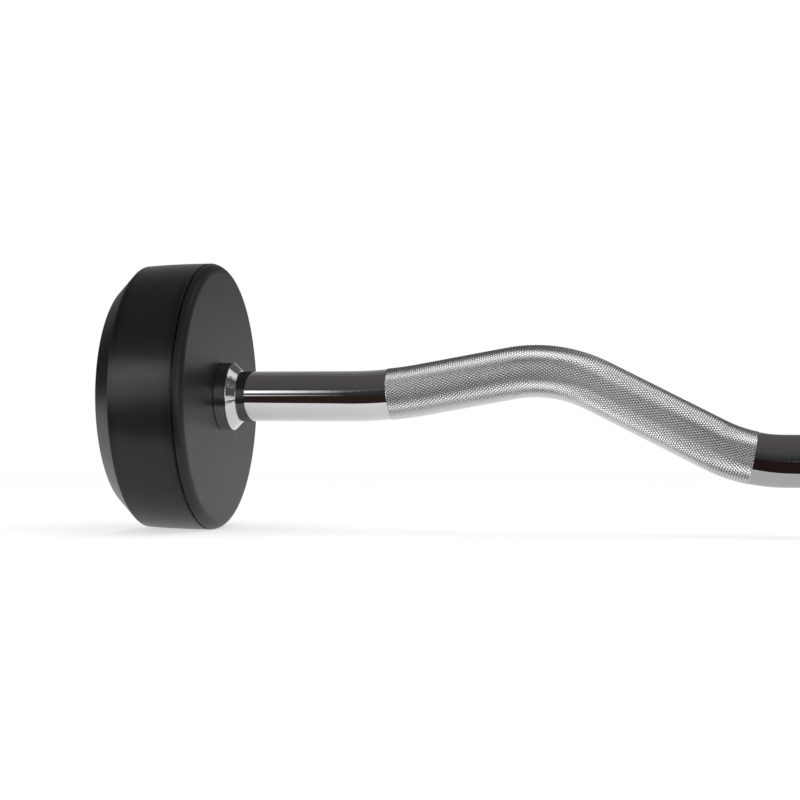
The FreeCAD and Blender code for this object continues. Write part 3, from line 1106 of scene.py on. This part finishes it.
@dataclass
class EndPiece:
    """A turned piece at one end of the bar, placed where its solid is.

    Attributes:
        side: Which end it is at.
    """

    side: Side

    def node(self, name: str) -> str:
        """Returns the full name of one of this end's pieces or solids."""
        return f"{self.side.name.lower()}_{name}"

    def reach(self, name: str) -> Triple:
        """Reads a solid's place from the frame.

        Args:
            name: The solid's name without its side.

        Returns:
            Where it starts and ends along X, outwards from mid-bar, and its radius.
        """
        low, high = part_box(self.node(name))
        near, far = sorted((abs(low.x), abs(high.x)))
        return near, far, high.y

    def turn(
        self,
        name: str,
        rows: Sequence[Row],
        columns: int,
        material: Material,
        relief: Relief | None = None,
    ) -> Object:
        """Turns a piece about the bar's axis, with distances outwards from mid-bar.

        Args:
            name: The piece's name without its side.
            rows: Its rings, which start and end on the axis if it has no bore.
            columns: Points in each ring.
            material: Its material.
            relief: Gives the radii of rings that aren't plain circles.

        Returns:
            The new piece.
        """
        bored = rows[0].radius > 0.0
        turning = Turning(StraightLine(self.side.value), rows, columns, bored, relief)
        return link_piece(turning.mesh(self.node(name)), material)


@dataclass
class StopCollar(EndPiece):
    """The chromed ring between the bar's shoulder and the weight, with a 45 degree cone.

    Attributes:
        bore_radius: Radius of its bore.
        lip_radius: Radius of the cone's small end.
        rounding: Rounding of its edges.
        columns: Points round it.
    """

    bore_radius: float = 0.0126
    lip_radius: float = 0.0156
    rounding: float = 0.0004
    columns: int = 192

    def build(self, book: FinishBook) -> None:
        """Builds the collar.

        Args:
            book: The finishes.
        """
        near, far, radius = self.reach("stop_collar")
        outline = (
            (near, self.bore_radius),
            (near, self.lip_radius),
            (near + radius - self.lip_radius, radius),
            (far, radius),
            (far, self.bore_radius),
        )
        rows = rounded_rows([Corner(*spot, self.rounding) for spot in outline], closed=True)
        ring = self.turn("collar_ring", rows, self.columns, book.collar)
        seat_piece(ring, Slot.CHROME, self.node("stop_collar"))


@dataclass
class RubberJacket(EndPiece):
    """The weight's moulded rubber, with round inner edge, parting line, drafted rim, bevel and dished face.

    Attributes:
        parting: Distance of the mould's parting line from the inner face.
        parting_width: Width of that line.
        parting_depth: Depth of that line.
        parting_round: Rounding of that line's edges.
        inner_round: Rounding of the inner edge.
        rim_draft: How much the rim narrows towards the bevel.
        crown: How much the rim swells in the middle.
        crown_round: Radius of that swell along the bar.
        bevel: Size of the 45 degree bevel.
        bevel_round: Rounding of the bevel's edges.
        ring_width: Width of the flat ring on the outer face.
        dish_depth: Depth of the dish inside the ring.
        dish_round: Rounding of the dish's edges.
        mouth_radius: Radius of the mouth over the bolt.
        mouth_round: Rounding of the mouth.
        hub_radius: Radius of the opening round the iron's hub.
        inner_rubber: Thickness of the rubber on the inner face.
        rim_rubber: Thickness on the rim and the bevel.
        outer_rubber: Thickness on the outer face.
        bond: Gap that the bond to the iron fills.
        columns: Points round it.
    """

    parting: float = 0.0065
    parting_width: float = 0.0006
    parting_depth: float = 0.0004
    parting_round: float = 0.0001
    inner_round: float = 0.00598
    rim_draft: float = 0.0011
    crown: float = 0.0005
    crown_round: float = 0.5
    bevel: float = 0.0115
    bevel_round: float = 0.0009
    ring_width: float = 0.0125
    dish_depth: float = 0.002
    dish_round: float = 0.0006
    mouth_radius: float = 0.026
    mouth_round: float = 0.0012
    hub_radius: float = 0.019
    inner_rubber: float = 0.005
    rim_rubber: float = 0.007
    outer_rubber: float = 0.006
    bond: float = 0.0001
    columns: int = 288

    def outline(self) -> list[Corner]:
        """Lists the corners all round the rubber.

        Returns:
            The corners in sight, from the hub over the rim to the mouth, and then those on the iron.
        """
        near, far, radius = self.reach("rubber_jacket")
        parting = near + self.parting
        half = self.parting_width / 2
        bevel_start = far - self.bevel
        rim_middle = (parting + bevel_start) / 2
        face_radius = radius - self.rim_draft - self.bevel
        dish_radius = face_radius - self.ring_width
        dish_floor = far - self.dish_depth
        hub_radius = self.hub_radius + self.bond
        iron_near = near + self.inner_rubber - self.bond
        iron_far = far - self.outer_rubber + self.bond
        iron_radius = radius - self.rim_rubber + self.bond
        slope = far + face_radius - (self.rim_rubber - self.bond) * math.sqrt(2)
        return [
            Corner(near, hub_radius),
            Corner(near, radius, self.inner_round),
            Corner(parting - half, radius, self.parting_round),
            Corner(parting, radius - self.parting_depth, self.parting_round),
            Corner(parting + half, radius, self.parting_round),
            Corner(rim_middle, radius - self.rim_draft / 2 + self.crown, self.crown_round),
            Corner(bevel_start, radius - self.rim_draft, self.bevel_round),
            Corner(far, face_radius, self.bevel_round),
            Corner(far, dish_radius, self.dish_round),
            Corner(dish_floor, dish_radius, self.dish_round),
            Corner(dish_floor, self.mouth_radius, self.mouth_round),
            Corner(iron_far, self.mouth_radius),
            Corner(iron_far, slope - iron_far),
            Corner(slope - iron_radius, iron_radius),
            Corner(iron_near, iron_radius),
            Corner(iron_near, hub_radius),
        ]

    def build(self, book: FinishBook) -> None:
        """Builds the jacket.

        Args:
            book: The finishes.
        """
        rows = rounded_rows(self.outline(), closed=True, steps=RUBBER_STEPS)
        jacket = self.turn("head_rubber", rows, self.columns, book.rubber)
        seat_piece(jacket, Slot.RUBBER, self.node("rubber_jacket"))


@dataclass
class ClampWasher(EndPiece):
    """The thick washer that the bolt presses on the iron.

    Attributes:
        hole_radius: Radius of its hole.
        chamfer: Chamfer of its outer edges.
        rounding: Rounding of every edge.
        columns: Points round it.
    """

    hole_radius: float = 0.0064
    chamfer: float = 0.0008
    rounding: float = 0.0002
    columns: int = 144

    def build(self, book: FinishBook) -> None:
        """Builds the washer.

        Args:
            book: The finishes.
        """
        near, far, radius = self.reach("clamp_washer")
        outline = (
            (near, self.hole_radius),
            (near, radius - self.chamfer),
            (near + self.chamfer, radius),
            (far - self.chamfer, radius),
            (far, radius - self.chamfer),
            (far, self.hole_radius),
        )
        rows = rounded_rows([Corner(*spot, self.rounding) for spot in outline], True, SMALL_STEPS)
        washer = self.turn("thick_washer", rows, self.columns, book.zinc)
        seat_piece(washer, Slot.ZINC, self.node("clamp_washer"))


@dataclass
class EndBolt(EndPiece):
    """The socket-head bolt: threaded shank, serrated head and hexagon socket.

    Attributes:
        shank_radius: Radius over the thread.
        head_height: Height of the head.
        head_break: Chamfer of the head.
        tip_chamfer: Chamfer of the tip.
        thread_pitch: Pitch of the thread.
        thread_depth: Depth of the thread.
        run_out: Plain length under the head.
        serrations: Serrations round the head.
        serration_depth: Depth of a serration.
        socket_width: Width of the socket across its flats.
        socket_depth: Depth of the socket.
        socket_lead: Chamfer round the socket.
        rounding: Rounding of turned edges.
    """

    shank_radius: float = 0.006
    head_height: float = 0.012
    head_break: float = 0.001
    tip_chamfer: float = 0.0012
    thread_pitch: float = 0.00175
    thread_depth: float = 0.0009
    run_out: float = 0.003
    serrations: int = 48
    serration_depth: float = 0.00025
    socket_width: float = 0.010
    socket_depth: float = 0.006
    socket_lead: float = 0.0004
    rounding: float = 0.0002

    def radii(self, row: Row, index: int, angles: np.ndarray) -> np.ndarray:
        """Gives the radii of the thread, of the head's serrations and of the socket.

        Args:
            row: The ring.
            index: Its number; not used.
            angles: Angles of its points.

        Returns:
            The radii.
        """
        if row.shape is RingShape.HEXAGON:
            half_side = math.pi / 6
            return self.socket_width / 2 / np.cos((angles + half_side) % (2 * half_side) - half_side)
        if row.shape is RingShape.SERRATED:
            return row.radius - self.serration_depth * (np.arange(len(angles)) % SERRATION_POINTS == 0)
        turn = (row.along / self.thread_pitch - angles / math.tau) % 1.0
        return row.radius - self.thread_depth * np.abs(2.0 * turn - 1.0)

    def rows(self) -> list[Row]:
        """Makes the rings of the bolt.

        Returns:
            The rings, from the tip to the bottom of the socket.
        """
        tip, top, head_radius = self.reach("end_bolt")
        seat = top - self.head_height
        core_radius = self.shank_radius - self.thread_depth / 2
        socket_radius = self.socket_width / math.sqrt(3)
        fine = self.rounding
        serrated_start = seat + self.head_break
        serrated_end = top - 2 * self.head_break
        point = [
            Corner(tip, 0.0),
            Corner(tip, self.shank_radius - self.tip_chamfer, fine),
            Corner(tip + self.tip_chamfer, self.shank_radius),
        ]
        head = [
            Corner(seat - self.run_out, core_radius),
            Corner(seat, core_radius, fine),
            Corner(seat, head_radius, fine),
            Corner(serrated_start, head_radius),
            Corner(serrated_start + fine, head_radius, shape=RingShape.SERRATED),
            Corner(serrated_end, head_radius, shape=RingShape.SERRATED),
            Corner(serrated_end + fine, head_radius),
            Corner(top - self.head_break, head_radius, fine),
            Corner(top, head_radius - self.head_break, fine),
            Corner(top, socket_radius + self.socket_lead, fine),
            Corner(top - self.socket_lead, socket_radius, shape=RingShape.HEXAGON),
            Corner(top - self.socket_depth, socket_radius, shape=RingShape.HEXAGON),
            Corner(top - self.socket_depth, 0.0),
        ]
        step = self.thread_pitch / THREAD_RINGS
        threaded = np.arange(tip + self.tip_chamfer + step, seat - self.run_out - step / 2, step)
        thread = [Row(along, self.shank_radius, shape=RingShape.THREAD) for along in threaded]
        ends = [rounded_rows(corners, closed=False, steps=SMALL_STEPS) for corners in (point, head)]
        return ends[0] + thread + ends[1]

    def build(self, book: FinishBook) -> None:
        """Builds the bolt.

        Args:
            book: The finishes.
        """
        columns = SERRATION_POINTS * self.serrations
        bolt = self.turn("socket_bolt", self.rows(), columns, book.bolt, self.radii)
        seat_piece(bolt, Slot.BOLT, self.node("end_bolt"))


@dataclass
class WeightEnd(EndPiece):
    """One end of the bar: stop collar, rubber-clad weight, washers, bolt and dowels."""

    def dress_solids(self, book: FinishBook) -> None:
        """Gives the solids that stay in the scene their finishes.

        Args:
            book: The finishes.
        """
        finishes = {
            "upper_dowel_pin": book.pin,
            "lower_dowel_pin": book.pin,
            "iron_core": book.iron,
            "spring_washer": book.zinc,
        }
        for name, material in finishes.items():
            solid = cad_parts[self.node(name)]
            solid.data.materials.clear()
            solid.data.materials.append(material)
            LOG.info("%s keeps its solid, dressed in %s", solid.name, material.name)

    def build(self, book: FinishBook) -> None:
        """Builds and dresses the pieces of this end.

        Args:
            book: The finishes.
        """
        for kind in (StopCollar, RubberJacket, ClampWasher, EndBolt):
            kind(self.side).build(book)
        self.dress_solids(book)


# Studio

Quad = tuple[Triple, Triple, Triple, Triple]

WHITE = (1.0, 1.0, 1.0, 1.0)
WARM_DARK: Triple = (1.45, 0.86, 0.76)
WARM_GREY: Triple = (1.06, 0.99, 0.96)
# The point near the left grip's inner end that most lamps face.
LAMP_AIM: Triple = (-0.1, 0.0, 0.0)
# The room that the cards close in: half its length, its front and back, its ceiling and its floor.
ROOM_HALF = 4.0
ROOM_FRONT, ROOM_BACK = -2.6, 3.4
ROOM_TOP, ROOM_FLOOR = 1.6, -0.08
# Y and Z of the corners of its end walls.
WALL_SPOTS: Sequence[Pair] = (
    (ROOM_BACK, ROOM_TOP),
    (ROOM_FRONT, ROOM_TOP),
    (ROOM_FRONT, ROOM_FLOOR),
    (ROOM_BACK, ROOM_FLOOR),
)
# Where the ceiling turns down to the back, and how low it comes there.
SLOPE_START, SLOPE_END = 2.6, 0.25
# Ends of the two glint cards, and where they stand in front of the bar.
GLINT_LEFT, GLINT_RIGHT, GLINT_FRONT = -0.765, -0.585, -1.2
# Ends of the glow above and behind the left weight, its height under the ceiling, and where it turns down.
GLOW_LEFT, GLOW_RIGHT = -1.70, -0.55
GLOW_TOP, GLOW_BEND = 1.58, 2.58
# Heights of the cards that lie in front of the bar and behind it, just above the floor.
FRONT_LEVEL, REAR_LEVEL = -0.0795, -0.0794


def across(left: float, right: float, first: Pair, second: Pair) -> Quad:
    """Gives the corners of a card with two edges along X, from Y and Z of each edge."""
    return (left, *first), (right, *first), (right, *second), (left, *second)


def beside(place: float) -> Quad:
    """Gives the corners of the room's end wall at a place on X."""
    return tuple((place, *spot) for spot in WALL_SPOTS)


def level(height: float, *spots: Pair) -> Quad:
    """Gives the corners of a card that lies flat at a height, from X and Y of each."""
    return tuple((*spot, height) for spot in spots)


@dataclass(frozen=True)
class Card:
    """A plain card of the studio that only polished surfaces see.

    Attributes:
        name: The card's name.
        corners: Its four corners in order.
        tones: How light it is at each corner.
        tint: Its colour, which the tones multiply.
    """

    name: str
    corners: Quad
    tones: tuple[float, float, float, float]
    tint: Triple = (1.0, 1.0, 1.0)


@dataclass(frozen=True)
class Lamp:
    """A soft lamp.

    Attributes:
        name: The lamp's name.
        place: Its middle.
        width: Its width.
        height: Its height.
        radiance: How light its face is, where 1 is white.
        aim: The point that it faces.
        mirrored: Whether polished surfaces show it.
    """

    name: str
    place: Triple
    width: float
    height: float
    radiance: float
    aim: Triple = LAMP_AIM
    mirrored: bool = True


@dataclass
class Studio:
    """A plain pale floor, white surroundings, soft lamps and the camera.

    Attributes:
        ambient: Light from all round on dull surfaces.
        floor_half_width: Half the width of the floor.
        floor_colour: Colour of the floor.
        floor_lift: How much of the floor's white is its own.
        lift_near: Distance from the bar where the floor starts to turn all white.
        lift_far: Distance where it is all white.
        eye: The camera's place.
        yaw: How far the camera is turned to the left.
        pitch: How far it looks down.
        roll: How far it is tilted.
        lens: Its focal length in millimetres.
        sensor: Its sensor's width in millimetres.
        nearest: How near to the camera things still show.
        cards: What shapes the reflections.
        lamps: What lights the bar.
    """

    ambient: float = 0.75
    floor_half_width: float = 12.0
    floor_colour: Triple = (0.9, 0.9, 0.9)
    floor_lift: float = 0.6
    lift_near: float = 0.6
    lift_far: float = 2.0
    eye: Triple = (-0.11127, -0.92807, -0.02466)
    yaw: float = 0.1859
    pitch: float = -0.02372
    roll: float = 0.0034
    lens: float = 72.0
    sensor: float = 36.0
    nearest: float = 0.01
    cards: Sequence[Card] = (
        Card(
            "ceiling_card",
            across(-ROOM_HALF, ROOM_HALF, (ROOM_FRONT, ROOM_TOP), (SLOPE_START, ROOM_TOP)),
            (0.09, 0.09, 0.14, 0.14),
            WARM_GREY,
        ),
        Card(
            "rear_card",
            across(-ROOM_HALF, ROOM_HALF, (SLOPE_START, ROOM_TOP), (ROOM_BACK, SLOPE_END)),
            (0.14, 0.14, 0.40, 0.40),
        ),
        Card(
            "front_card",
            across(-ROOM_HALF, ROOM_HALF, (ROOM_FRONT, ROOM_TOP), (ROOM_FRONT, ROOM_FLOOR)),
            (0.09, 0.09, 0.03, 0.03),
        ),
        Card("left_card", beside(-ROOM_HALF), (0.06, 0.05, 0.05, 0.07)),
        Card("right_card", beside(ROOM_HALF), (0.20, 0.06, 0.06, 0.45)),
        Card(
            "left_front_card",
            level(FRONT_LEVEL, (-0.64, -0.206), (-0.29, -0.104), (-0.29, ROOM_FRONT), (-1.4, ROOM_FRONT)),
            (0.024, 0.024, 0.024, 0.024),
            WARM_DARK,
        ),
        Card(
            "middle_front_card",
            level(FRONT_LEVEL, (-0.29, -0.104), (-0.10, -0.049), (-0.10, ROOM_FRONT), (-0.29, ROOM_FRONT)),
            (0.4, 0.95, 0.1, 0.1),
        ),
        Card(
            "right_front_card",
            level(FRONT_LEVEL, (-0.10, -0.049), (0.05, -0.006), (0.05, ROOM_FRONT), (-0.10, ROOM_FRONT)),
            (0.016, 0.016, 0.016, 0.016),
            WARM_DARK,
        ),
        Card(
            "upper_glint_card",
            across(GLINT_LEFT, GLINT_RIGHT, (GLINT_FRONT, 0.275), (GLINT_FRONT, 0.545)),
            (2.4, 0.02, 0.02, 2.4),
        ),
        Card(
            "lower_glint_card",
            across(GLINT_LEFT, GLINT_RIGHT, (GLINT_FRONT, 0.0), (GLINT_FRONT, 0.105)),
            (1.2, 0.08, 0.08, 1.2),
        ),
        Card(
            "right_floor_card",
            level(REAR_LEVEL, (-0.105, -0.050), (0.50, 0.10), (0.50, 1.50), (-0.105, 1.50)),
            (0.62, 0.62, 0.66, 0.66),
        ),
        Card(
            "rear_glow_card",
            across(GLOW_LEFT, GLOW_RIGHT, (0.30, GLOW_TOP), (GLOW_BEND, GLOW_TOP)),
            (0.13, 0.13, 0.38, 0.38),
        ),
        Card(
            "rear_low_card",
            across(GLOW_LEFT, GLOW_RIGHT, (GLOW_BEND, GLOW_TOP), (3.36, SLOPE_END)),
            (0.38, 0.38, 0.75, 0.75),
        ),
    )
    lamps: Sequence[Lamp] = (
        Lamp("upper_strip", (-0.87, -1.20, 0.455), 0.20, 0.18, 5.4, aim=(-0.87, 0.0, 0.455)),
        Lamp("left_box", (-1.05, -0.94, 0.20), 0.70, 0.54, 2.7),
        Lamp("centre_box", (-0.36, -1.28, 0.35), 0.21, 0.85, 3.0),
        Lamp("right_near_box", (0.37, -1.25, 0.20), 0.42, 0.54, 1.1),
        Lamp("right_low_box", (0.85, -0.94, 0.20), 0.72, 0.54, 2.2),
        Lamp("right_high_box", (0.85, -0.55, 0.90), 0.60, 0.60, 0.6),
        Lamp("right_rear_box", (0.86, 0.56, 1.32), 0.80, 0.50, 0.9, aim=(-0.39, 0.0, 0.0)),
        Lamp("top_light", (0.0, 0.2, 1.5), 2.4, 1.6, 1.3, aim=(0.0, 0.0, 0.0), mirrored=False),
    )

    @staticmethod
    def seen(sketch: NodeSketch) -> NodeSocket:
        """Tells what is looked at from what only gives light.

        Args:
            sketch: The sketch that the nodes go into.

        Returns:
            1 where the camera, a mirror or a glass looks, and 0 where light is gathered.
        """
        path = sketch.add("ShaderNodeLightPath").outputs
        direct = sketch.math("MAXIMUM", path["Is Camera Ray"], path["Is Glossy Ray"])
        return sketch.math("MAXIMUM", direct, path["Is Transmission Ray"])

    @staticmethod
    def _sheet(name: str, corners: Sequence[Triple]) -> Mesh:
        """Makes a mesh with one face.

        Args:
            name: The mesh's name.
            corners: The face's corners in order.

        Returns:
            The mesh.
        """
        mesh = bpy.data.meshes.new(name)
        mesh.from_pydata(corners, [], [tuple(range(len(corners)))])
        return mesh

    def build_world(self) -> None:
        """Makes the surroundings white where they are seen or mirrored, and softer as light."""
        world = bpy.data.worlds.new("white_surroundings")
        world.use_nodes = True
        world.cycles.sampling_method = "NONE"
        world.node_tree.nodes.clear()
        sketch = NodeSketch(world.node_tree)
        white = sketch.spread(self.seen(sketch), self.ambient, 1.0)
        background = sketch.add("ShaderNodeBackground", {"Color": WHITE, "Strength": white})
        sketch.add("ShaderNodeOutputWorld", {"Surface": background.outputs["Background"]})
        bpy.context.scene.world = world

    def build_floor(self) -> None:
        """Lays the floor at the level of the weights' lowest point, white with the bar's shadow on it."""
        half = self.floor_half_width
        height = CAD_BOX[0].z
        material, sketch = blank_material("pale_floor")
        distance = sketch.add("ShaderNodeVectorMath", {0: sketch.place()}, operation="LENGTH")
        lift = sketch.add("ShaderNodeMapRange", {
            "Value": distance.outputs["Value"],
            "From Min": self.lift_near,
            "From Max": self.lift_far,
            "To Min": self.floor_lift,
            "To Max": 1.0,
        }, interpolation_type="SMOOTHSTEP").outputs["Result"]
        dull = sketch.add("ShaderNodeBsdfDiffuse", {"Color": (*self.floor_colour, 1.0)})
        white = sketch.add("ShaderNodeEmission", {"Color": WHITE, "Strength": 1.0})
        mixed = sketch.add("ShaderNodeMixShader", {
            0: sketch.math("MULTIPLY", self.seen(sketch), lift),
            1: dull.outputs["BSDF"],
            2: white.outputs["Emission"],
        })
        sketch.add("ShaderNodeOutputMaterial", {"Surface": mixed.outputs["Shader"]})
        material.cycles.emission_sampling = "NONE"
        corners = level(height, (-half, -half), (half, -half), (half, half), (-half, half))
        floor = link_piece(self._sheet("floor", corners), material)
        LOG.info("floor laid at %.4f m", height)

    def build_cards(self) -> None:
        """Hangs the cards that shape what the chrome mirrors."""
        material, sketch = blank_material("studio_card")
        colour = sketch.add("ShaderNodeAttribute", attribute_name="tone").outputs["Color"]
        glow = sketch.add("ShaderNodeEmission", {"Color": colour})
        sketch.add("ShaderNodeOutputMaterial", {"Surface": glow.outputs["Emission"]})
        material.cycles.emission_sampling = "NONE"
        for card in self.cards:
            mesh = self._sheet(card.name, card.corners)
            colours = mesh.attributes.new("tone", "FLOAT_COLOR", "POINT")
            for corner, tone in zip(colours.data, card.tones):
                corner.color = (*(tone * share for share in card.tint), 1.0)
            sheet = link_piece(mesh, material)
            sheet.visible_camera = False
            sheet.visible_diffuse = False
            sheet.visible_shadow = False
            LOG.info("%s hung", card.name)

    def build_lamps(self) -> None:
        """Sets up the soft lamps."""
        for lamp in self.lamps:
            light = bpy.data.lights.new(lamp.name, "AREA")
            light.shape = "RECTANGLE"
            light.size = lamp.width
            light.size_y = lamp.height
            light.energy = lamp.radiance * math.pi * lamp.width * lamp.height
            holder = bpy.data.objects.new(lamp.name, light)
            bpy.context.scene.collection.objects.link(holder)
            facing = Vector(lamp.aim) - Vector(lamp.place)
            holder.location = lamp.place
            holder.rotation_euler = facing.to_track_quat("-Z", "Y").to_euler()
            holder.visible_camera = False
            holder.visible_glossy = lamp.mirrored

    def build_camera(self) -> None:
        """Stands the camera where the picture was taken from."""
        ahead = Vector((
            -math.sin(self.yaw) * math.cos(self.pitch),
            math.cos(self.yaw) * math.cos(self.pitch),
            -math.sin(self.pitch),
        ))
        sideways = Vector((math.cos(self.yaw), math.sin(self.yaw), 0.0))
        upright = sideways.cross(ahead)
        right = math.cos(self.roll) * sideways + math.sin(self.roll) * upright
        up = math.cos(self.roll) * upright - math.sin(self.roll) * sideways
        data = bpy.data.cameras.new("camera")
        data.lens = self.lens
        data.sensor_width = self.sensor
        data.clip_start = self.nearest
        camera = bpy.data.objects.new("camera", data)
        turned = Matrix((right, up, -ahead)).transposed().to_4x4()
        camera.matrix_world = Matrix.Translation(self.eye) @ turned
        bpy.context.scene.collection.objects.link(camera)
        bpy.context.scene.camera = camera

    def build(self) -> None:
        """Sets up the studio round the bar."""
        bpy.context.scene.view_settings.view_transform = "Standard"
        self.build_world()
        self.build_floor()
        self.build_cards()
        self.build_lamps()
        self.build_camera()


def main() -> None:
    """Builds the bar, its two ends and the studio."""
    logging.basicConfig(level=logging.INFO, format="%(name)s: %(message)s")
    book = FinishBook()
    CurlBar().build(book)
    for side in Side:
        WeightEnd(side).build(book)
    Studio().build()


if __name__ == "__main__":
    main()
